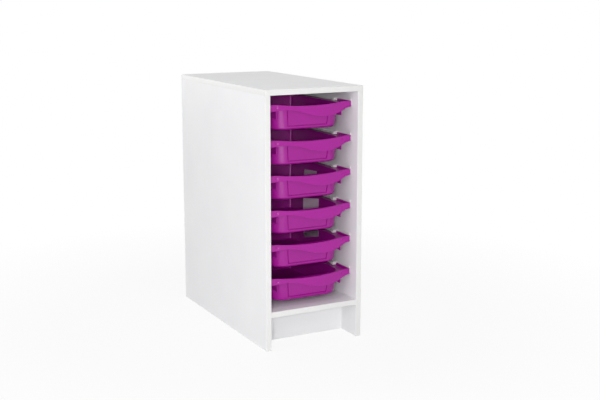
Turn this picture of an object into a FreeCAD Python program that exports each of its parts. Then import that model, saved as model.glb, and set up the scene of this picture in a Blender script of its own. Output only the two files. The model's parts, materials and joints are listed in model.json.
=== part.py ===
import FreeCAD, Part
import math
import os

import Sketcher

Vector = FreeCAD.Vector
doc = FreeCAD.newDocument("TrayUnit")

# Driving dimensions, in millimetres and degrees
dimensions = {
    # Carcass of melamine-faced boards
    "cabinetWidth": 350,
    "cabinetDepth": 700,
    "cabinetHeight": 840,
    "boardThickness": 18,
    "edgingThickness": 2,
    "plinthHeight": 110,
    "plinthSetback": 97,
    "backThickness": 6,
    "backInset": 12,
    "grooveDepth": 8,
    "grooveClearance": 0.3,
    # Dowels that join the boards
    "dowelDiameter": 8,
    "dowelLength": 30,
    "dowelFaceDepth": 12,
    "dowelEndGap": 0.5,
    "dowelInset": 60,
    "plinthDowelInset": 30,
    # Stack of trays
    "topTrayGap": 33,
    "bottomTrayGap": 15.5,
    "trayInset": 24,
    # Tub of one tray
    "trayLength": 407,
    "trayHeight": 84,
    "trayWall": 2.5,
    "trayDraft": 6,
    "frontCornerRadius": 48,
    "rearCornerRadius": 10,
    "floorRadius": 8,
    # Rim that runs in the runners, lower than the wings at the front
    "rimWidth": 24.5,
    "rimThickness": 2.5,
    "rimCornerRadius": 30,
    "skirtDepth": 5,
    "sideDrop": 8,
    "wingLength": 88,
    # Lip across the front, with a wave along its lower edge
    "lipThickness": 3,
    "lipOverhang": 20,
    "lipBow": 12,
    "lipDip": 7.5,
    "dipWidth": 242,
    "wingTipDepth": 18.5,
    "wingTipRadius": 3,
    "leftRootDepth": 21.5,
    "leftRootOffset": 137,
    "rightRootDepth": 31,
    "rightRootOffset": 112,
    "rightBendDepth": 22,
    "rightBendOffset": 131,
    "waveCrestDepth": 18.5,
    "waveCrestOffset": 92,
    "waveTroughDepth": 44,
    "waveTroughOffset": 54,
    "dimpleRadius": 10,
    "dimpleDepth": 2,
    "dimpleDrop": 9.5,
    "dimpleOffset": 121,
    # Sunk line round the front panel, and the ribs under the wings
    "panelWidth": 158,
    "panelFoot": 10.5,
    "lineWidth": 3,
    "lineDepth": 3.5,
    "ribOffset": 118,
    "ribThickness": 2.5,
    "ribDepth": 46,
    # Runners
    "runnerWeb": 3,
    "runnerLegThickness": 2.5,
    "runnerRoofDepth": 13,
    "runnerLegDepth": 20,
    "runnerSideGap": 1.5,
    "runnerSlideGap": 0.4,
    "runnerRoofGap": 1,
    "runnerFrontGap": 4,
    "runnerStopGap": 1,
    "webRise": 10.5,
    "webSlope": 170,
    "lugReach": 20,
    "lugLength": 14,
    "lugHeight": 9.5,
    "lugGap": 1,
    # Screws that hold the runners
    "screwDiameter": 3,
    "screwHeadDiameter": 5.6,
    "screwHeadHeight": 1.8,
    "screwTipLength": 3,
    "screwLength": 16,
    "screwInset": 40,
}
trayCount = 6

sheet = doc.addObject("Spreadsheet::Sheet", "sizes")
for row, (alias, value) in enumerate(dimensions.items(), start=1):
    sheet.set(f"A{row}", alias)
    sheet.set(f"B{row}", str(value))
    sheet.setAlias(f"B{row}", alias)
doc.recompute()


class Length:
    # A value together with the sheet formula that gives it
    def __init__(self, value, text):
        self.value = value
        self.text = text

    def __add__(self, other):
        return Length(self.value + number(other), f"({self.text} + {formula(other)})")

    def __sub__(self, other):
        return Length(self.value - number(other), f"({self.text} - {formula(other)})")

    def __mul__(self, other):
        return Length(self.value * number(other), f"({self.text} * {formula(other)})")

    def __truediv__(self, other):
        return Length(self.value / number(other), f"({self.text} / {formula(other)})")

    def __neg__(self):
        return Length(-self.value, f"(-1 * {self.text})")


def number(item):
    return item.value if isinstance(item, Length) else item


def formula(item):
    return item.text if isinstance(item, Length) else str(item)


def size(alias):
    return Length(float(getattr(sheet, alias)), f"sizes.{alias}")


def sagittaRadius(halfChord, sagitta):
    return (halfChord * halfChord + sagitta * sagitta) / (sagitta * 2)


zero = Length(0.0, "0")


def bind(thing, **lengths):
    for name, length in lengths.items():
        thing.setExpression(name.replace("_", "."), length.text)


def place(thing, x=zero, y=zero, z=zero):
    bind(thing, Placement_Base_x=x, Placement_Base_y=y, Placement_Base_z=z)
    return thing


def newBody(name):
    return doc.addObject("PartDesign::Body", name)


def newSketch(body, role, offset=zero):
    # A sketch on one of the body's own origin planes, moved along that plane's normal
    plane = [item for item in body.Origin.OriginFeatures if item.Role == role][0]
    sketch = body.newObject("Sketcher::SketchObject", "outline")
    sketch.AttachmentSupport = [(plane, "")]
    sketch.MapMode = "FlatFace"
    bind(sketch, AttachmentOffset_Base_z=offset)
    return sketch


def fixPoint(sketch, geometry, vertex, point):
    for kind, length in zip(("DistanceX", "DistanceY"), point):
        rule = Sketcher.Constraint(kind, -1, 1, geometry, vertex, length.value)
        index = sketch.addConstraint(rule)
        sketch.setExpression(f"Constraints[{index}]", length.text)


def fixRadius(sketch, geometry, radius):
    index = sketch.addConstraint(Sketcher.Constraint("Radius", geometry, radius.value))
    sketch.setExpression(f"Constraints[{index}]", radius.text)


def drawArc(sketch, start, finish, radius, side):
    # The shorter arc from start to finish; its centre is left of the way for side 1, right for -1
    chord = finish - start
    height = math.sqrt(radius ** 2 - (chord.Length / 2) ** 2)
    left = Vector(-chord.y, chord.x, 0).normalize()
    centre = (start + finish) / 2 + left * height * side
    first, last = (start, finish) if side > 0 else (finish, start)
    turns = [math.atan2(end.y - centre.y, end.x - centre.x) for end in (first, last)]
    circle = Part.Circle(centre, Vector(0, 0, 1), radius)
    sketch.addGeometry(Part.ArcOfCircle(circle, *turns), False)
    return (1, 2) if side > 0 else (2, 1)


def drawPath(sketch, corners, arcs=None):
    # A closed outline through the corners; arcs gives the radius and side of a round stretch
    arcs = arcs or {}
    count = len(corners)
    points = [Vector(x.value, y.value, 0) for x, y in corners]
    ends = []
    for index, start in enumerate(points):
        finish = points[(index + 1) % count]
        if index in arcs:
            radius, side = arcs[index]
            ends.append(drawArc(sketch, start, finish, radius.value, side))
        else:
            sketch.addGeometry(Part.LineSegment(start, finish), False)
            ends.append((1, 2))
    for index in range(count):
        following = (index + 1) % count
        join = (index, ends[index][1], following, ends[following][0])
        sketch.addConstraint(Sketcher.Constraint("Coincident", *join))
    for index, corner in enumerate(corners):
        fixPoint(sketch, index, ends[index][0], corner)
    for index, (radius, side) in arcs.items():
        fixRadius(sketch, index, radius)


def drawRectangle(sketch, low, high):
    drawPath(sketch, [low, (high[0], low[1]), high, (low[0], high[1])])


def drawCircles(sketch, centres, radius):
    for index, centre in enumerate(centres):
        middle = Vector(centre[0].value, centre[1].value, 0)
        sketch.addGeometry(Part.Circle(middle, Vector(0, 0, 1), radius.value), False)
        fixPoint(sketch, index, 3, centre)
        fixRadius(sketch, index, radius)


def pad(body, sketch, length, reverse=False, taper=None):
    feature = body.newObject("PartDesign::Pad", "pad")
    feature.Profile = sketch
    feature.Reversed = reverse
    bind(feature, Length=length)
    if taper:
        bind(feature, TaperAngle=taper)
    doc.recompute()
    return feature


def pocket(body, sketch, depth, reverse=False):
    before = body.Shape.Volume
    feature = body.newObject("PartDesign::Pocket", "pocket")
    feature.Profile = sketch
    feature.Reversed = reverse
    bind(feature, Length=depth)
    doc.recompute()
    if body.Shape.Volume > before - 1:
        raise ValueError(f"{body.Label}: a pocket cuts nothing")
    return feature


def fillet(body, chosen, radius):
    # Rounds the edges of the body's tip for which chosen(edge) is true
    base = body.Tip
    names = [f"Edge{i}" for i, edge in enumerate(base.Shape.Edges, start=1) if chosen(edge)]
    feature = body.newObject("PartDesign::Fillet", "fillet")
    feature.Base = (base, names)
    bind(feature, Radius=radius)
    doc.recompute()
    return feature


def box(name, low, high):
    # A plain block between two corners
    block = doc.addObject("Part::Box", name)
    spans = [top - bottom for bottom, top in zip(low, high)]
    bind(block, Length=spans[0], Width=spans[1], Height=spans[2])
    return place(block, *low)


def combine(kind, name, shapes):
    joined = doc.addObject(f"Part::{kind}", name)
    joined.Shapes = shapes
    return joined


def subtract(name, base, tool):
    result = doc.addObject("Part::Cut", name)
    result.Base = base
    result.Tool = tool
    return result


def copyOf(source, name, x=zero, y=zero, z=zero, turn=0):
    copy = doc.addObject("App::Link", name)
    copy.LinkedObject = source
    copy.Placement.Rotation = FreeCAD.Rotation(Vector(0, 0, 1), turn)
    return place(copy, x, y, z)


def group(name, members):
    gathered = doc.addObject("Part::Compound", name)
    gathered.Links = members
    return gathered


# Planes that the boards share, from the middle of the footprint on the floor
board = size("boardThickness")
edging = size("edgingThickness")
halfWidth = size("cabinetWidth") / 2
innerHalf = halfWidth - board
front = -(size("cabinetDepth") / 2)
rear = size("cabinetDepth") / 2
boardFront = front + edging
sideTop = size("cabinetHeight") - board
shelfUnderside = size("plinthHeight")
shelfTop = shelfUnderside + board
plinthFront = front + size("plinthSetback")
backRear = rear - size("backInset")
backFront = backRear - size("backThickness")
grooveFront = backFront - size("grooveClearance")
grooveRear = backRear + size("grooveClearance")
grooveDepth = size("grooveDepth")
backReach = grooveDepth - size("grooveClearance")
sideMiddle = innerHalf + board / 2

# Dowel places
dowelRadius = size("dowelDiameter") / 2
dowelFace = size("dowelFaceDepth")
dowelEdge = size("dowelLength") - dowelFace
dowelGap = size("dowelEndGap")
dowelRows = [front + size("dowelInset"), zero, rear - size("dowelInset")]
plinthMiddle = plinthFront + board / 2
plinthDowelRows = [size("plinthDowelInset"), shelfUnderside - size("plinthDowelInset")]
shelfDowels = [(y, shelfUnderside + board / 2) for y in dowelRows]
plinthDowels = [(plinthMiddle, z) for z in plinthDowelRows]

# Levels of one tray, counted from the top of its rim, and its places along the cabinet
rimHalf = innerHalf - size("runnerWeb") - size("runnerSideGap")
tubHalf = rimHalf - size("rimWidth")
lipFront = front + size("trayInset")
wingTip = lipFront + size("lipBow")
lipRear = wingTip + size("lipThickness")
tubFront = lipFront + size("lipOverhang")
rimRear = lipFront + size("trayLength")
tubRear = rimRear - size("rimWidth")
cornerEnd = tubFront + size("frontCornerRadius")
wingEnd = wingTip + size("wingLength")
dipHalf = size("dipWidth") / 2
dipRadius = sagittaRadius(dipHalf, size("lipDip"))
sideLevel = -size("sideDrop")
sideUnder = sideLevel - size("rimThickness")
skirtFoot = sideLevel - size("skirtDepth")
topRim = sideTop - size("topTrayGap")
bottomRim = shelfTop + size("bottomTrayGap") + size("trayHeight")
trayPitch = (topRim - bottomRim) / (trayCount - 1)
rimLevels = [topRim - trayPitch * step for step in range(trayCount)]

# Levels and places of one runner, counted like the tray's
legTop = skirtFoot - size("runnerSlideGap")
legUnderside = legTop - size("runnerLegThickness")
roofUnderside = sideLevel + size("runnerRoofGap")
roofTop = roofUnderside + size("runnerLegThickness")
runnerFront = lipRear + size("runnerFrontGap")
stopFront = rimRear + size("runnerStopGap")
runnerRear = stopFront + size("runnerLegThickness")
roofFront = wingEnd + size("lugGap")
webFace = innerHalf - size("runnerWeb")
screwLevel = (legTop + roofUnderside) / 2
screwRadius = size("screwDiameter") / 2
screwRows = [runnerFront + size("screwInset"), runnerRear - size("screwInset")]
screwReach = size("screwLength") - size("runnerWeb")


def sidePanel(name, outward):
    # Side board with a groove for the back, dowel holes and pilot holes for the runner screws
    body = newBody(name)
    towardRight = outward > 0
    sketch = newSketch(body, "YZ_Plane", halfWidth * outward)
    drawRectangle(sketch, (boardFront, zero), (rear, sideTop))
    pad(body, sketch, board, reverse=towardRight)
    groove = newSketch(body, "YZ_Plane", innerHalf * outward)
    drawRectangle(groove, (grooveFront, shelfUnderside), (grooveRear, sideTop))
    pocket(body, groove, grooveDepth, reverse=towardRight)
    joints = newSketch(body, "YZ_Plane", innerHalf * outward)
    drawCircles(joints, shelfDowels + plinthDowels, dowelRadius)
    pocket(body, joints, dowelFace + dowelGap, reverse=towardRight)
    pilots = newSketch(body, "YZ_Plane", innerHalf * outward)
    drawCircles(pilots, [(y, z + screwLevel) for z in rimLevels for y in screwRows], screwRadius)
    pocket(body, pilots, screwReach, reverse=towardRight)
    ends = newSketch(body, "XY_Plane", sideTop)
    drawCircles(ends, [(sideMiddle * outward, y) for y in dowelRows], dowelRadius)
    pocket(body, ends, dowelEdge + dowelGap)
    return body


def topPanel(name):
    # Top board, laid on the sides, grooved and bored from below
    body = newBody(name)
    sketch = newSketch(body, "XY_Plane", sideTop)
    drawRectangle(sketch, (edging - halfWidth, boardFront), (halfWidth - edging, rear - edging))
    pad(body, sketch, board)
    groove = newSketch(body, "XY_Plane", sideTop)
    grooveHalf = innerHalf + grooveDepth
    drawRectangle(groove, (-grooveHalf, grooveFront), (grooveHalf, grooveRear))
    pocket(body, groove, grooveDepth, reverse=True)
    joints = newSketch(body, "XY_Plane", sideTop)
    drawCircles(joints, [(sideMiddle * side, y) for side in (-1, 1) for y in dowelRows], dowelRadius)
    pocket(body, joints, dowelFace + dowelGap, reverse=True)
    return body


def crossBoard(name, low, high, holes):
    # Board between the sides, bored in both ends
    body = newBody(name)
    sketch = newSketch(body, "XY_Plane", low[1])
    drawRectangle(sketch, (-innerHalf, low[0]), (innerHalf, high[0]))
    pad(body, sketch, high[1] - low[1])
    for side in (-1, 1):
        ends = newSketch(body, "YZ_Plane", innerHalf * side)
        drawCircles(ends, holes, dowelRadius)
        pocket(body, ends, dowelEdge + dowelGap, reverse=side < 0)
    return body


def dowel(axis, centre):
    # Plain beech peg, given by the middle of its end in the board face
    peg = doc.addObject("Part::Cylinder", "dowel")
    bind(peg, Radius=dowelRadius, Height=size("dowelLength"))
    peg.Placement.Rotation = FreeCAD.Rotation(Vector(0, 0, 1), axis)
    return place(peg, *centre)


def endDowels(name, holes):
    across = Vector(1, 0, 0)
    pegs = [dowel(across, (-(innerHalf + dowelFace), y, z)) for y, z in holes]
    pegs += [dowel(across, (innerHalf - dowelEdge, y, z)) for y, z in holes]
    return group(name, pegs)


def topDowels(name):
    up = Vector(0, 0, 1)
    places = [(sideMiddle * side, y, sideTop - dowelEdge) for side in (-1, 1) for y in dowelRows]
    return group(name, [dowel(up, centre) for centre in places])


def edgeStrips():
    # Glued edging, flush with the faces of the boards
    height = size("cabinetHeight")
    strips = {
        "top_front_edging": ((-halfWidth, front, sideTop), (halfWidth, boardFront, height)),
        "top_rear_edging": ((-halfWidth, rear - edging, sideTop), (halfWidth, rear, height)),
        "top_left_edging": ((-halfWidth, boardFront, sideTop), (edging - halfWidth, rear - edging, height)),
        "top_right_edging": ((halfWidth - edging, boardFront, sideTop), (halfWidth, rear - edging, height)),
        "left_side_edging": ((-halfWidth, front, zero), (-innerHalf, boardFront, sideTop)),
        "right_side_edging": ((innerHalf, front, zero), (halfWidth, boardFront, sideTop)),
        "base_shelf_edging": ((-innerHalf, front, shelfUnderside), (innerHalf, boardFront, shelfTop)),
    }
    return [box(name, low, high) for name, (low, high) in strips.items()]


def tubPrism(name, inset):
    # Drafted block with round corners and floor edge; inset turns the outside into the hollow
    body = newBody(name)
    depth = size("trayHeight") - inset
    sketch = newSketch(body, "XY_Plane")
    low = (inset - tubHalf, tubFront + inset)
    high = (tubHalf - inset, tubRear - inset)
    drawRectangle(sketch, low, high)
    pad(body, sketch, depth, reverse=True, taper=-size("trayDraft"))
    middle = (tubFront.value + tubRear.value) / 2

    def frontCorner(edge):
        return edge.BoundBox.ZLength > depth.value / 2 and edge.BoundBox.YMax < middle

    def rearCorner(edge):
        return edge.BoundBox.ZLength > depth.value / 2 and edge.BoundBox.YMin > middle

    def onFloor(edge):
        return edge.BoundBox.ZMax < -depth.value / 2

    fillet(body, frontCorner, size("frontCornerRadius") - inset)
    fillet(body, rearCorner, size("rearCornerRadius") - inset)
    fillet(body, onFloor, size("floorRadius") - inset)
    return body


def rimPrism(name, inset):
    # Block with the rim's plan: straight sides, a bowed front and round rear corners
    body = newBody(name)
    half = rimHalf - inset
    tip = wingTip + inset
    corners = [(-half, tip), (half, tip), (half, rimRear - inset), (-half, rimRear - inset)]
    sketch = newSketch(body, "XY_Plane")
    drawPath(sketch, corners, {0: (sagittaRadius(half, size("lipBow")), 1)})
    depth = size("waveTroughDepth")
    pad(body, sketch, depth, reverse=True)

    middle = (tip.value + rimRear.value) / 2

    def rearCorner(edge):
        return edge.BoundBox.ZLength > depth.value / 2 and edge.BoundBox.YMin > middle

    def wingCorner(edge):
        return edge.BoundBox.ZLength > depth.value / 2 and edge.BoundBox.YMax < middle

    fillet(body, rearCorner, size("rimCornerRadius") - inset)
    if inset is zero:
        fillet(body, wingCorner, size("wingTipRadius"))
    return body


def frontProfile(name, corners, arcs, backPlane):
    # Elevation outline, drawn out from backPlane to just before the lip
    body = newBody(name)
    sketch = newSketch(body, "XZ_Plane", -backPlane)
    drawPath(sketch, corners, arcs)
    pad(body, sketch, backPlane - lipFront + size("lipThickness"))
    return body


def lipProfile():
    # Lip seen from the front: two wings and an S-shaped lower edge that is deepest on the right
    tipDepth = -size("wingTipDepth")
    leftRoot = (-size("leftRootOffset"), -size("leftRootDepth"))
    rightRoot = (size("rightRootOffset"), -size("rightRootDepth"))
    crest = (-size("waveCrestOffset"), -size("waveCrestDepth"))
    trough = (size("waveTroughOffset"), -size("waveTroughDepth"))
    turn = ((crest[0] + trough[0]) / 2, (crest[1] + trough[1]) / 2)
    waveRadius = sagittaRadius(turn[0] - crest[0], crest[1] - turn[1])
    troughRadius = sagittaRadius(rightRoot[0] - trough[0], rightRoot[1] - trough[1])
    corners = [
        (-rimHalf, zero),
        (-rimHalf, tipDepth),
        leftRoot,
        crest,
        turn,
        trough,
        rightRoot,
        (size("rightBendOffset"), -size("rightBendDepth")),
        (rimHalf, tipDepth),
        (rimHalf, zero),
    ]
    arcs = {3: (waveRadius, -1), 4: (waveRadius, 1), 5: (troughRadius, 1)}
    return frontProfile("lip_profile", corners, arcs, lipRear)


def dipCutter():
    # What the dip takes off the top of the lip
    above = size("rimThickness")
    corners = [(-dipHalf, zero), (dipHalf, zero), (dipHalf, above), (-dipHalf, above)]
    return frontProfile("dip_cutter", corners, {0: (dipRadius, 1)}, lipRear)


def panelBlock(name, growth, near):
    # Block behind a leaning plane, with the front panel's outline grown by an amount
    body = newBody(name)
    half = size("panelWidth") / 2 + growth
    foot = size("trayHeight") - size("panelFoot") + growth
    sketch = newSketch(body, "XY_Plane")
    drawRectangle(sketch, (-half, near), (half, cornerEnd))
    pad(body, sketch, foot, reverse=True, taper=-size("trayDraft"))
    return body


def panelLine(name, margin, near, far):
    # U-shaped band along the front panel's outline, between two planes that lean with the wall
    width = size("lineWidth")
    outside = panelBlock(f"{name}_outside", margin, near)
    inside = panelBlock(f"{name}_inside", -(width + margin), near)
    behind = panelBlock(f"{name}_behind", width + margin, far)
    limits = combine("MultiFuse", f"{name}_limits", [inside, behind])
    return subtract(name, outside, limits)


def linedTub():
    # Outside of the tub with the line sunk into its front
    depth = size("lineDepth")
    line = panelLine("panel_line", zero, tubFront - depth, tubFront + depth)
    return subtract("lined_tub", tubPrism("tub", zero), line)


def tubHollow():
    # Inside of the tub, which keeps its wall thickness behind the line
    wall = size("trayWall")
    depth = size("lineDepth")
    backing = panelLine("line_backing", depth / 2, tubFront, tubFront + depth + wall)
    return subtract("tub_hollow", tubPrism("tub_inside", wall), backing)


def lipDimples():
    # Shallow round dimples near the ends of the lip
    offset = size("dimpleOffset")
    radius = size("dimpleRadius")
    bowRadius = sagittaRadius(rimHalf, size("lipBow"))
    lipFace = lipFront + offset * offset / (bowRadius * 2)
    balls = []
    for side in (-1, 1):
        ball = doc.addObject("Part::Sphere", "dimple")
        bind(ball, Radius=radius)
        balls.append(place(ball, offset * side, lipFace + size("dimpleDepth") - radius, -size("dimpleDrop")))
    return balls


def wingRibs():
    # Upright ribs between the wings and the round corners of the tub
    outer = size("ribOffset")
    inner = outer - size("ribThickness")
    foot = -size("ribDepth")
    left = box("left_rib", (-outer, lipRear, foot), (-inner, cornerEnd, sideLevel))
    right = box("right_rib", (inner, lipRear, foot), (outer, cornerEnd, sideLevel))
    return [left, right]


def trayMoulding():
    # One tray in a single moulding, with the top of its wings at level zero
    outerRim = rimPrism("rim_outside", zero)
    ring = subtract("rim_ring", outerRim, rimPrism("rim_inside", size("lipThickness")))
    skirtBand = box("skirt_band", (-rimHalf, lipRear, skirtFoot), (rimHalf, rimRear, zero))
    skirtProfile = combine("MultiFuse", "skirt_profile", [lipProfile(), skirtBand])
    skirt = combine("MultiCommon", "skirt", [ring, skirtProfile])
    deckBand = box("deck_band", (-rimHalf, lipFront, sideUnder), (rimHalf, rimRear, sideLevel))
    deck = combine("MultiCommon", "deck", [outerRim, deckBand])
    solid = combine("MultiFuse", "tray_solid", [linedTub(), deck, skirt] + wingRibs())
    hollow = subtract("tray_hollow", solid, tubHollow())
    drop = size("sideDrop")
    aboveTub = box("above_tub", (-tubHalf, tubFront, sideLevel), (tubHalf, wingEnd, drop))
    aboveSides = box("above_sides", (-innerHalf, wingEnd, sideLevel), (innerHalf, rear, drop))
    offcuts = combine("MultiFuse", "tray_offcuts", [dipCutter(), aboveTub, aboveSides] + lipDimples())
    return subtract("tray_moulding", hollow, offcuts)


def screw():
    # Countersunk screw along X, with the top of its head at zero
    body = newBody("screw")
    sketch = newSketch(body, "XZ_Plane")
    length = size("screwLength")
    head = size("screwHeadHeight")
    corners = [
        (zero, zero),
        (zero, size("screwHeadDiameter") / 2),
        (head, screwRadius),
        (length - size("screwTipLength"), screwRadius),
        (length, zero),
    ]
    drawPath(sketch, corners)
    turned = body.newObject("PartDesign::Revolution", "turned")
    turned.Profile = sketch
    turned.ReferenceAxis = (sketch, ["H_Axis"])
    turned.Angle = 360
    doc.recompute()
    return body


def rightRunner(screwSource):
    # C-shaped runner: a web that rises to the front, a leg, a roof with a lug behind the wing, a rear stop
    body = newBody("runner")
    roofDepth = size("runnerRoofDepth")

    def addRib(corners, depth):
        sketch = newSketch(body, "YZ_Plane", innerHalf)
        drawPath(sketch, corners)
        pad(body, sketch, depth, reverse=True)

    def addBar(low, high, depth):
        addRib([low, (high[0], low[1]), high, (low[0], high[1])], depth)

    addRib([
        (runnerFront, legUnderside),
        (runnerRear, legUnderside),
        (runnerRear, roofTop),
        (runnerFront + size("webSlope"), roofTop),
        (runnerFront, roofTop + size("webRise")),
    ], size("runnerWeb"))
    addBar((runnerFront, legUnderside), (runnerRear, legTop), size("runnerLegDepth"))
    addBar((roofFront, roofUnderside), (runnerRear, roofTop), roofDepth)
    addBar((stopFront, legUnderside), (runnerRear, roofTop), roofDepth)
    lugTop = roofUnderside + size("lugHeight")
    addBar((roofFront, roofUnderside), (roofFront + size("lugLength"), lugTop), size("lugReach"))
    screws = [copyOf(screwSource, "runner_screw", webFace, y, screwLevel) for y in screwRows]
    return subtract("right_runner", body, group("runner_screws", screws))


nodes = {}


def keep(name, thing):
    thing.Label = name
    nodes[name] = thing


keep("left_side_panel", sidePanel("left_side_panel", -1))
keep("right_side_panel", sidePanel("right_side_panel", 1))
keep("top_panel", topPanel("top_panel"))
keep("base_shelf", crossBoard("base_shelf", (boardFront, shelfUnderside), (backFront, shelfTop), shelfDowels))
plinthTopRear = (plinthFront + board, shelfUnderside)
keep("plinth_board", crossBoard("plinth_board", (plinthFront, zero), plinthTopRear, plinthDowels))
backHalf = innerHalf + backReach
backTop = sideTop + backReach
keep("back_panel", box("back_panel", (-backHalf, backFront, shelfUnderside), (backHalf, backRear, backTop)))
for strip in edgeStrips():
    keep(strip.Name, strip)
keep("top_dowels", topDowels("top_dowels"))
keep("base_shelf_dowels", endDowels("base_shelf_dowels", shelfDowels))
keep("plinth_dowels", endDowels("plinth_dowels", plinthDowels))

trayMaster = trayMoulding()
screwMaster = screw()
runnerMaster = rightRunner(screwMaster)
leftRunner = doc.addObject("Part::Mirroring", "left_runner")
leftRunner.Source = runnerMaster
leftRunner.Normal = (1, 0, 0)
leftScrews = []
rightScrews = []
for step, level in enumerate(rimLevels, start=1):
    keep(f"tray_{step}", copyOf(trayMaster, f"tray_{step}", z=level))
    keep(f"left_runner_{step}", copyOf(leftRunner, f"left_runner_{step}", z=level))
    keep(f"right_runner_{step}", copyOf(runnerMaster, f"right_runner_{step}", z=level))
    for y in screwRows:
        leftScrews.append(copyOf(screwMaster, "left_screw", -webFace, y, level + screwLevel, turn=180))
        rightScrews.append(copyOf(screwMaster, "right_screw", webFace, y, level + screwLevel))
keep("left_runner_screws", group("left_runner_screws", leftScrews))
keep("right_runner_screws", group("right_runner_screws", rightScrews))

doc.recompute()
for item in doc.Objects:
    if "Invalid" in item.State or "Error" in item.State:
        raise ValueError(f"{item.Label} did not build")
shapes = {name: Part.getShape(thing) for name, thing in nodes.items()}
for name, shape in shapes.items():
    if shape.isNull() or not shape.isValid():
        raise ValueError(f"{name} has no valid shape")
os.makedirs("parts", exist_ok=True)
for name, shape in shapes.items():
    shape.exportStep(f"parts/{name}.step")
    print(name, len(shape.Solids), round(shape.Volume))
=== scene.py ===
import json
import math

import bpy
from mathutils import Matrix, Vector


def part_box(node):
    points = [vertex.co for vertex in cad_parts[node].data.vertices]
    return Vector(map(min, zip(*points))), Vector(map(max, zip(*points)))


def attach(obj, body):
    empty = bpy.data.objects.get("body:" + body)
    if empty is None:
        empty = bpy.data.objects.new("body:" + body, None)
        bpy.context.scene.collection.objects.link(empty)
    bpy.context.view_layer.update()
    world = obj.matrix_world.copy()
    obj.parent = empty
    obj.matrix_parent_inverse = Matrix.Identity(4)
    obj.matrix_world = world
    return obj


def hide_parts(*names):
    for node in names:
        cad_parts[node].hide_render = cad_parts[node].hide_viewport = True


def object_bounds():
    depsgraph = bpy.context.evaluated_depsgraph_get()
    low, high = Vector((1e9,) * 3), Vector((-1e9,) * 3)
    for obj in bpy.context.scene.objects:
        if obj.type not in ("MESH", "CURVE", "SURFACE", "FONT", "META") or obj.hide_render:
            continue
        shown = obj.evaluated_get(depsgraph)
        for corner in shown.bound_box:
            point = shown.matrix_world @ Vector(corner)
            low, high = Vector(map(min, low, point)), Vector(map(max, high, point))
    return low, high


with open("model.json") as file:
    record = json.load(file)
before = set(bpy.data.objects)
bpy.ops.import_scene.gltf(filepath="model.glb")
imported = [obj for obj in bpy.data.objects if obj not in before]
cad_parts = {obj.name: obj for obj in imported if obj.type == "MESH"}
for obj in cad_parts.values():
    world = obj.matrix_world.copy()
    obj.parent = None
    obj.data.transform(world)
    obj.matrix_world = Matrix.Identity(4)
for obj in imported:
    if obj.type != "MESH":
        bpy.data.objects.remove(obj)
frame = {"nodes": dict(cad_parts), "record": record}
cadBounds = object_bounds()
bpy.ops.object.select_all(action="DESELECT")
scene = bpy.context.scene
scene.view_settings.view_transform = "Standard"
millimetre = 0.001
print("frame:", len(frame["nodes"]), "nodes")


def linear(hexColour):
    # sRGB hex to the linear colour that the shaders take
    parts = [int(hexColour[place:place + 2], 16) / 255 for place in (1, 3, 5)]
    return [p / 12.92 if p <= 0.04045 else ((p + 0.055) / 1.055) ** 2.4 for p in parts] + [1.0]


def perMetre(size):
    # Texture scale for features of a size in millimetres
    return 1 / (size * millimetre)


def addNode(tree, kind, inputs=None, **settings):
    # An input is a constant, or the output that is linked to it
    node = tree.nodes.new(kind)
    for name, setting in settings.items():
        setattr(node, name, setting)
    for name, value in (inputs or {}).items():
        if isinstance(value, bpy.types.NodeSocket):
            tree.links.new(value, node.inputs[name])
        else:
            node.inputs[name].default_value = value
    return node


def noise(tree, place, size, detail):
    # Cloudy pattern with features of a size in millimetres
    pattern = addNode(tree, "ShaderNodeTexNoise", {"Vector": place, "Scale": perMetre(size), "Detail": detail})
    return pattern.outputs["Fac"]


def blend(tree, first, second, share):
    # Inputs 6 and 7 of a mix node are its colours, input 0 its share, and output 2 the mixed colour
    return addNode(tree, "ShaderNodeMix", {6: first, 7: second, 0: share}, data_type="RGBA").outputs[2]


def spread(tree, share, low, high):
    # Maps 0 to 1 onto a range
    return addNode(tree, "ShaderNodeMapRange", {"Value": share, "To Min": low, "To Max": high}).outputs[0]


def relief(tree, pattern, strength, height):
    # Bump with a height in millimetres
    bump = addNode(tree, "ShaderNodeBump", {
        "Height": pattern, "Strength": strength, "Distance": height * millimetre})
    return bump.outputs["Normal"]


def maths(tree, operation, first, second):
    return addNode(tree, "ShaderNodeMath", {0: first, 1: second}, operation=operation).outputs[0]


def startMaterial(name):
    material = bpy.data.materials.new(name)
    material.use_nodes = True
    tree = material.node_tree
    tree.nodes.clear()
    coordinates = addNode(tree, "ShaderNodeTexCoord")
    return material, tree, coordinates.outputs["Object"]


def finishMaterial(tree, inputs):
    shader = addNode(tree, "ShaderNodeBsdfPrincipled", inputs)
    addNode(tree, "ShaderNodeOutputMaterial", {"Surface": shader.outputs["BSDF"]})


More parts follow.
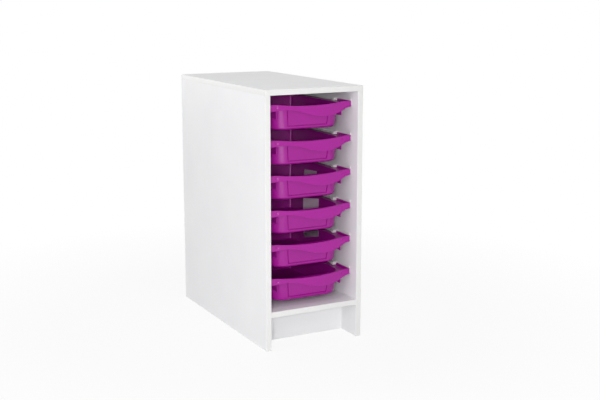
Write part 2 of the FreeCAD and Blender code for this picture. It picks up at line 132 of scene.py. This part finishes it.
def melamineBoard():
    # Melamine-faced chipboard, pressed on a pearl plate: near white, soft sheen, and brown chips on bare edges
    look = {"low": "#E6E6E8", "high": "#EEEEEF", "cloudSize": 140, "cloudDetail": 3,
            "pearlSize": 1.6, "pearlDetail": 4, "pearlStrength": 0.25, "pearlHeight": 0.02,
            "roughLow": 0.38, "roughHigh": 0.50, "ior": 1.5,
            "chipLight": "#C6A273", "chipDark": "#8B6A45", "chipSize": 2.4, "chipRough": 0.9, "bareDepth": 0.05}
    material, tree, place = startMaterial("melamineFacedChipboard")
    cloud = noise(tree, place, look["cloudSize"], look["cloudDetail"])
    pearl = noise(tree, place, look["pearlSize"], look["pearlDetail"])
    face = blend(tree, linear(look["low"]), linear(look["high"]), cloud)
    chips = addNode(tree, "ShaderNodeTexVoronoi", {"Vector": place, "Scale": perMetre(look["chipSize"])})
    tone = addNode(tree, "ShaderNodeSeparateColor", {"Color": chips.outputs["Color"]})
    core = blend(tree, linear(look["chipDark"]), linear(look["chipLight"]), tone.outputs["Red"])

    # The boards have no edging at the rear and at the feet
    bareDepth = look["bareDepth"] * millimetre
    axes = addNode(tree, "ShaderNodeSeparateXYZ", {"Vector": place})
    atRear = maths(tree, "GREATER_THAN", axes.outputs["Y"], cadBounds[1][1] - bareDepth)
    atFoot = maths(tree, "LESS_THAN", axes.outputs["Z"], cadBounds[0][2] + bareDepth)
    bare = maths(tree, "MAXIMUM", atRear, atFoot)
    sheen = spread(tree, pearl, look["roughLow"], look["roughHigh"])
    # Inputs 2 and 3 of a plain mix node are its two numbers
    rough = addNode(tree, "ShaderNodeMix", {2: sheen, 3: look["chipRough"], 0: bare})
    finishMaterial(tree, {
        "Base Color": blend(tree, face, core, bare), "Roughness": rough.outputs[0], "IOR": look["ior"],
        "Normal": relief(tree, pearl, look["pearlStrength"], look["pearlHeight"])})
    return material


def patternedFinish(name, look):
    # Colour and gloss follow one noise and the relief another; sizes and heights are in millimetres
    material, tree, place = startMaterial(name)
    if "stretch" in look:
        place = addNode(tree, "ShaderNodeMapping", {
            "Vector": place, "Scale": (1, 1, 1 / look["stretch"])}).outputs["Vector"]
    tone = noise(tree, place, look["toneSize"], look["toneDetail"])
    inputs = {
        "Base Color": blend(tree, linear(look["low"]), linear(look["high"]), tone),
        "Roughness": spread(tree, tone, look["roughLow"], look["roughHigh"]),
        **look["fixed"],
    }
    if "grainSize" in look:
        grain = noise(tree, place, look["grainSize"], look["grainDetail"])
        inputs["Normal"] = relief(tree, grain, look["grainStrength"], look["grainHeight"])
    finishMaterial(tree, inputs)
    return material


# ABS edging, extruded and glued on: a clean white with a satin face and faint drawn lines
absEdging = {
    "low": "#E1E1E0", "high": "#E7E7E6", "toneSize": 0.8, "toneDetail": 2, "stretch": 60,
    "roughLow": 0.30, "roughHigh": 0.42, "fixed": {"IOR": 1.53},
    "grainSize": 0.8, "grainDetail": 2, "grainStrength": 0.2, "grainHeight": 0.01,
}
# Thin fibreboard, roller-lacquered white: matt, with the fine orange peel of the roller
lacqueredFibreboard = {
    "low": "#DEDEDE", "high": "#E8E8E7", "toneSize": 3, "toneDetail": 5,
    "roughLow": 0.5, "roughHigh": 0.68, "fixed": {},
    "grainSize": 3, "grainDetail": 5, "grainStrength": 0.3, "grainHeight": 0.03,
}
# Polypropylene, injection moulded: deep magenta purple, waxy half gloss, cloudy flow and a fine spark-eroded grain
mouldedPolypropylene = {
    "low": "#9D0C8D", "high": "#A70F96", "toneSize": 90, "toneDetail": 3,
    "roughLow": 0.28, "roughHigh": 0.34, "fixed": {"IOR": 1.47},
    "grainSize": 0.9, "grainDetail": 2, "grainStrength": 0.2, "grainHeight": 0.006,
}
# Polystyrene, moulded: opaque white with a satin face and a little cloudiness
runnerPolystyrene = {
    "low": "#E4E4E2", "high": "#EDEDEB", "toneSize": 25, "toneDetail": 3,
    "roughLow": 0.35, "roughHigh": 0.48, "fixed": {"IOR": 1.59},
    "grainSize": 1.0, "grainDetail": 2, "grainStrength": 0.2, "grainHeight": 0.01,
}
# Steel, rolled and bright zinc plated: pale bluish metal with uneven lustre
zincPlatedSteel = {
    "low": "#B4B8BD", "high": "#CDD0D2", "toneSize": 2, "toneDetail": 4,
    "roughLow": 0.25, "roughHigh": 0.42, "fixed": {"Metallic": 1.0},
}
# Beech, turned to pegs: pinkish brown with short dark flecks
turnedBeech = {
    "low": "#B98F62", "high": "#D9B48A", "toneSize": 1.2, "toneDetail": 5,
    "roughLow": 0.5, "roughHigh": 0.7, "fixed": {},
}
# Uncoated label paper, calendered: matt, with a felted tone of short fibres. Its pale lilac tint is painted light,
# standing in for the purple light that the tray walls bounce onto the white paper
labelPaper = {
    "low": "#F0D2EC", "high": "#FBDFF7", "toneSize": 2.5, "toneDetail": 6,
    "roughLow": 0.7, "roughHigh": 0.9, "fixed": {},
    "grainSize": 2.5, "grainDetail": 6, "grainStrength": 0.3, "grainHeight": 0.02,
}
finishes = {
    "white_board": melamineBoard(),
    "white_edging": patternedFinish("absExtrudedEdging", absEdging),
    "back_board": patternedFinish("lacqueredFibreboard", lacqueredFibreboard),
    "tray_plastic": patternedFinish("polypropyleneMoulded", mouldedPolypropylene),
    "runner_plastic": patternedFinish("polystyreneMoulded", runnerPolystyrene),
    "zinc_screw": patternedFinish("steelZincPlated", zincPlatedSteel),
    "beech_dowel": patternedFinish("beechTurned", turnedBeech),
    "label_paper": patternedFinish("labelPaperUncoated", labelPaper),
}
slotOfNode = {part["node"]: part["material_slot"] for part in frame["record"]["subparts"]}
nodesOfBody = frame["record"]["behaviour"]["bodies"]
bodyOfNode = {node: body for body, nodes in nodesOfBody.items() for node in nodes}
for node, part in frame["nodes"].items():
    part.data.materials.clear()
    part.data.materials.append(finishes[slotOfNode[node]])
print("materials:", len(finishes))


def activate(piece):
    bpy.ops.object.select_all(action="DESELECT")
    piece.select_set(True)
    bpy.context.view_layer.objects.active = piece


def applyModifier(piece, kind, **settings):
    modifier = piece.modifiers.new(kind.lower(), kind)
    for name, setting in settings.items():
        setattr(modifier, name, setting)
    activate(piece)
    bpy.ops.object.modifier_apply(modifier=modifier.name)


# Edge work on each dressed solid: the weld in millimetres, the angles in degrees
edgeWork = {"weld": 0.02, "flat": 0.5, "sharp": 40, "segments": 3}
sharpAngle = math.radians(edgeWork["sharp"])

# Width of the eased edges of each kind of piece and the shortest edge that is eased, in millimetres.
# The rims of the boards' and runners' holes stay sharp. The trays' notched faces are split before they are eased.
easing = {
    "white_board": {"arris": 0.3, "shortest": 3, "split": False},
    "white_edging": {"arris": 0.7, "shortest": 3, "split": False},
    "back_board": {"arris": 0.2, "shortest": 3, "split": False},
    "runner_plastic": {"arris": 0.35, "shortest": 1.5, "split": False},
    "tray_plastic": {"arris": 0.45, "shortest": 0, "split": True},
}


def weighOuterEdges(mesh, shortest):
    # Bevel weight for the selected edges that point outward and are long enough
    weights = mesh.attributes.new("bevel_weight_edge", "FLOAT", "EDGE")
    besides = {}
    for face in mesh.polygons:
        for key in face.edge_keys:
            besides.setdefault(key, []).append(face)
    for line in mesh.edges:
        start, end = [mesh.vertices[number].co for number in line.vertices]
        first, second = besides[line.key]
        outward = (second.center - first.center).dot(first.normal) < 0
        longEnough = (end - start).length >= shortest * millimetre
        weights.data[line.index].value = float(line.select and outward and longEnough)


def dressNode(node, arris, shortest, split):
    # The solid's merged copy with its outer edges eased
    piece = bpy.data.objects.new(f"{node}_dressed", frame["nodes"][node].data.copy())
    scene.collection.objects.link(piece)
    activate(piece)
    bpy.ops.mesh.customdata_custom_splitnormals_clear()
    bpy.ops.object.mode_set(mode="EDIT")
    bpy.ops.mesh.select_all(action="SELECT")
    bpy.ops.mesh.remove_doubles(threshold=edgeWork["weld"] * millimetre)
    bpy.ops.mesh.dissolve_limited(angle_limit=math.radians(edgeWork["flat"]))
    if split:
        bpy.ops.mesh.vert_connect_concave()
    bpy.ops.mesh.select_mode(type="EDGE")
    bpy.ops.mesh.select_all(action="DESELECT")
    bpy.ops.mesh.edges_select_sharp(sharpness=sharpAngle)
    bpy.ops.object.mode_set(mode="OBJECT")
    weighOuterEdges(piece.data, shortest)
    applyModifier(piece, "BEVEL", width=arris * millimetre, segments=edgeWork["segments"],
                  limit_method="WEIGHT", use_clamp_overlap=False)
    bpy.ops.object.shade_smooth_by_angle(angle=sharpAngle)
    applyModifier(piece, "WEIGHTED_NORMAL", keep_sharp=True)
    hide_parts(node)
    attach(piece, bodyOfNode[node])


for node in frame["nodes"]:
    if slotOfNode[node] in easing:
        dressNode(node, **easing[slotOfNode[node]])
print("dressed:", sum(slot in easing for slot in slotOfNode.values()), "pieces")

# Blank labels on the inner right walls of three trays, in millimetres and degrees.
# A spot's middle lies along Y and below the rim. The shares, of a sheet's length and height, say where its ends
# and its loose corner begin.
labelSheet = {"thick": 0.3, "corner": 4, "cornerSegments": 4, "rows": 6, "columns": 14, "gap": 0.15,
              "wallTop": 125.5, "wallLean": 6, "curl": 2.5, "curlReach": 30, "curlShare": 0.4, "endShare": 0.499}
labelSpots = {
    3: {"wide": 90, "tall": 35, "middle": -100, "below": 52, "tilt": 4.5},
    4: {"wide": 111, "tall": 43, "middle": -102, "below": 42, "tilt": 8.6},
    5: {"wide": 107, "tall": 24, "middle": -102, "below": 33, "tilt": 12.5},
}


def pickVertices(piece, chosen):
    # Selects, in edit mode, the vertices for which chosen(place) is true
    bpy.ops.object.mode_set(mode="OBJECT")
    for vertex in piece.data.vertices:
        vertex.select = chosen(vertex.co)
    bpy.ops.object.mode_set(mode="EDIT")


def paperLabel(number, spot):
    # An upright sheet with round corners, one of which has come off the wall a little
    wide, tall = spot["wide"] * millimetre, spot["tall"] * millimetre
    sideEnd, topEnd = wide * labelSheet["endShare"], tall * labelSheet["endShare"]
    curlEnd = -wide * labelSheet["curlShare"]
    bpy.ops.object.select_all(action="DESELECT")
    bpy.ops.mesh.primitive_grid_add(x_subdivisions=labelSheet["rows"], y_subdivisions=labelSheet["columns"],
                                    size=1, rotation=(0, -math.pi / 2, 0))
    piece = bpy.context.object
    piece.name = f"tray_{number}_label"
    bpy.ops.object.transform_apply(rotation=True)
    bpy.ops.object.mode_set(mode="EDIT")
    bpy.ops.mesh.select_mode(type="VERT")
    bpy.ops.transform.resize(value=(1, wide, tall))
    pickVertices(piece, lambda place: abs(place.y) > sideEnd and abs(place.z) > topEnd)
    bpy.ops.mesh.bevel(offset=labelSheet["corner"] * millimetre, segments=labelSheet["cornerSegments"],
                       affect="VERTICES")
    pickVertices(piece, lambda place: place.y < curlEnd and place.z > topEnd)
    bpy.ops.transform.translate(value=(-labelSheet["curl"] * millimetre, 0, 0), use_proportional_edit=True,
                                proportional_size=labelSheet["curlReach"] * millimetre)
    bpy.ops.object.mode_set(mode="OBJECT")
    applyModifier(piece, "SOLIDIFY", thickness=labelSheet["thick"] * millimetre, offset=1)
    lean = math.radians(labelSheet["wallLean"])
    wall = (labelSheet["wallTop"] - labelSheet["gap"] - spot["below"] * math.tan(lean)) * millimetre
    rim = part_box(f"tray_{number}")[1][2]
    piece.rotation_euler = (-math.radians(spot["tilt"]), lean, 0)
    piece.location = (wall, spot["middle"] * millimetre, rim - spot["below"] * millimetre)
    activate(piece)
    bpy.ops.object.transform_apply()
    bpy.ops.object.shade_smooth_by_angle(angle=sharpAngle)
    piece.data.materials.append(finishes["label_paper"])
    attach(piece, f"tray_{number}")


for number, spot in labelSpots.items():
    paperLabel(number, spot)
print("labels:", len(labelSpots))


def whiteForCamera(tree):
    # 1 for what the camera sees directly, in a reflection or through something clear
    path = addNode(tree, "ShaderNodeLightPath").outputs
    seen = maths(tree, "MAXIMUM", path["Is Camera Ray"], path["Is Glossy Ray"])
    return maths(tree, "MAXIMUM", seen, path["Is Transmission Ray"])


# White studio, in metres: the floor keeps the shadow near the object and fades to plain white further out
studio = {"floorColour": "#DADADA", "floorSize": 40, "shadowInner": 0.7, "shadowOuter": 1.6, "shadowShare": 0.9,
          "skyLight": 0.34, "skyColour": "#FFFFFF"}
bpy.ops.mesh.primitive_plane_add(size=studio["floorSize"])
floor = bpy.context.object
floor.name = "floor"
floorFinish, tree, place = startMaterial("paintedStudioFloor")
reach = addNode(tree, "ShaderNodeVectorMath", {0: place}, operation="LENGTH")
share = addNode(tree, "ShaderNodeMapRange", {
    "Value": reach.outputs["Value"], "From Min": studio["shadowInner"], "From Max": studio["shadowOuter"],
    "To Min": studio["shadowShare"], "To Max": 1.0})
whiteShare = maths(tree, "MULTIPLY", whiteForCamera(tree), share.outputs[0])
lit = addNode(tree, "ShaderNodeBsdfDiffuse", {"Color": linear(studio["floorColour"])})
white = addNode(tree, "ShaderNodeEmission", {"Color": linear(studio["skyColour"])})
both = addNode(tree, "ShaderNodeMixShader", {
    0: whiteShare, 1: lit.outputs["BSDF"], 2: white.outputs["Emission"]})
addNode(tree, "ShaderNodeOutputMaterial", {"Surface": both.outputs["Shader"]})
floor.data.materials.append(floorFinish)

world = bpy.data.worlds.new("studio")
world.use_nodes = True
tree = world.node_tree
tree.nodes.clear()
strength = spread(tree, whiteForCamera(tree), studio["skyLight"], 1.0)
sky = addNode(tree, "ShaderNodeBackground", {"Color": linear(studio["skyColour"]), "Strength": strength})
addNode(tree, "ShaderNodeOutputWorld", {"Surface": sky.outputs["Background"]})
scene.world = world

# Soft boxes, in metres and watts: the main one at the front left, a fill at the camera's height that shines into the
# trays, one on each other side, one above, and two small ones that draw the sheen on the round corners
softBoxes = {
    "main": {"place": (-2.05, -2.85, 2.00), "aim": (0, -0.30, 0.50), "wide": 1.0, "tall": 0.7, "power": 16},
    "fill": {"place": (-1.62, -3.18, 1.13), "aim": (0, -0.30, 0.50), "wide": 0.8, "tall": 0.35, "power": 43},
    "left": {"place": (-3.40, -0.60, 0.95), "aim": (0, 0, 0.20), "wide": 1.8, "tall": 1.4, "power": 25},
    "top": {"place": (0, -0.30, 3.40), "aim": (0, 0, 0.84), "wide": 2.0, "tall": 2.0, "power": 21},
    "right": {"place": (3.40, 0.40, 1.20), "aim": (0, 0, 0.45), "wide": 1.6, "tall": 1.6, "power": 22},
    "rear": {"place": (-1.20, 3.40, 1.30), "aim": (0, 0, 0.45), "wide": 1.6, "tall": 1.6, "power": 22},
    "low": {"place": (-0.45, -1.60, 0.06), "aim": (0, -0.30, 0.50), "wide": 0.8, "tall": 0.20, "power": 3.2},
    "strip": {"place": (-1.40, -3.20, 0.50), "aim": (0, -0.10, 0.50), "wide": 0.15, "tall": 0.7, "power": 4},
}
for name, lamp in softBoxes.items():
    light = bpy.data.lights.new(name, "AREA")
    light.shape = "RECTANGLE"
    light.size = lamp["wide"]
    light.size_y = lamp["tall"]
    light.energy = lamp["power"]
    stand = bpy.data.objects.new(name, light)
    stand.location = lamp["place"]
    stand.visible_camera = False
    direction = Vector(lamp["aim"]) - Vector(lamp["place"])
    stand.rotation_euler = direction.to_track_quat("-Z", "Y").to_euler()
    scene.collection.objects.link(stand)
print("studio:", len(softBoxes), "soft boxes")

# Camera at the photograph's place, in metres, degrees and millimetres of lens and sensor; turned up by 90 degrees
# it looks level
view = {"place": (-1.5600, -3.2177, 1.1353), "pitch": -11.330, "yaw": 27.703, "lens": 62.42, "sensor": 36}
cameraData = bpy.data.cameras.new("camera")
cameraData.lens = view["lens"]
cameraData.sensor_width = view["sensor"]
camera = bpy.data.objects.new("camera", cameraData)
camera.location = view["place"]
camera.rotation_euler = (math.radians(90 + view["pitch"]), 0, math.radians(-view["yaw"]))
scene.collection.objects.link(camera)
scene.camera = camera
